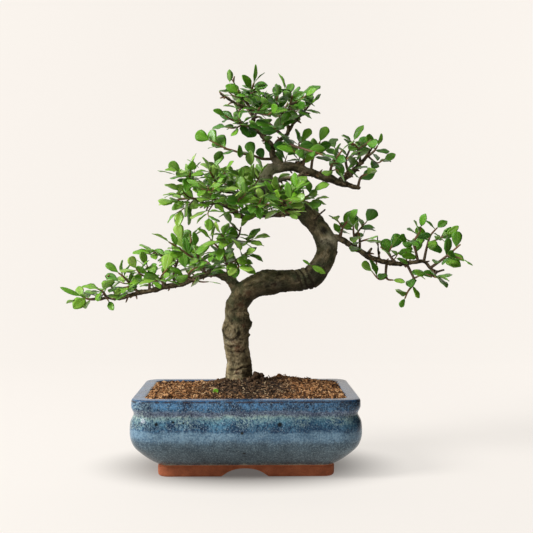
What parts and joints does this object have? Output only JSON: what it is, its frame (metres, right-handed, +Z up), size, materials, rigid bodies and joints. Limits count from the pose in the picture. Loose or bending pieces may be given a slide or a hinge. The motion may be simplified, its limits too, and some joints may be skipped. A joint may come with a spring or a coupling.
{
  "type": "chinese elm bonsai",
  "caption": "Chinese elm bonsai with a winding trunk and small leathery leaves, growing in soil in a glazed rectangular pot.",
  "frame": {"origin": "under the middle of the whole object's box, on the plane the foot of the pot stands on", "axes": "+Z up, the front of the tree and of the pot faces -Y, +X to the right as seen from the front"},
  "size_m": [0.4444, 0.1774, 0.4369],
  "materials": {
    "glaze": "glossy mottled glaze",
    "net": "matte",
    "soil": "rough, loose chips",
    "bark": "rough bark",
    "leaf": "satin, leathery"
  },
  "bodies": {
    "root": {"pot": "glaze", "drain_net_left": "net", "drain_net_right": "net", "soil": "soil", "trunk_and_branches": "bark", "apex_long_spray": "leaf", "apex_spray_1": "leaf", "apex_spray_2": "leaf", "apex_spray_3": "leaf", "apex_spray_4": "leaf", "apex_spray_5": "leaf", "apex_spray_6": "leaf", "apex_spray_7": "leaf", "apex_spray_8": "leaf", "apex_spray_9": "leaf", "apex_spray_10": "leaf", "crown_spray_1": "leaf", "crown_spray_2": "leaf", "crown_spray_3": "leaf", "crown_spray_4": "leaf", "crown_spray_5": "leaf", "crown_spray_6": "leaf", "crown_spray_7": "leaf", "crown_spray_8": "leaf", "crown_spray_9": "leaf", "centre_spray_1": "leaf", "centre_spray_2": "leaf", "centre_spray_3": "leaf", "centre_spray_4": "leaf", "centre_spray_5": "leaf", "centre_spray_6": "leaf", "centre_spray_7": "leaf", "centre_spray_8": "leaf", "centre_spray_9": "leaf", "centre_spray_10": "leaf", "centre_spray_11": "leaf", "centre_spray_12": "leaf", "left_spray_1": "leaf", "left_spray_2": "leaf", "left_spray_3": "leaf", "left_spray_4": "leaf", "left_spray_5": "leaf", "left_spray_6": "leaf", "left_spray_7": "leaf", "left_spray_8": "leaf", "left_spray_9": "leaf", "left_spray_10": "leaf", "left_spray_11": "leaf", "left_spray_12": "leaf", "left_spray_13": "leaf", "right_spray_1": "leaf", "right_spray_2": "leaf", "right_spray_3": "leaf", "right_spray_4": "leaf", "right_spray_5": "leaf", "right_spray_6": "leaf", "right_spray_7": "leaf", "right_spray_8": "leaf", "right_spray_9": "leaf", "right_spray_10": "leaf"}
  },
  "joints": []
}
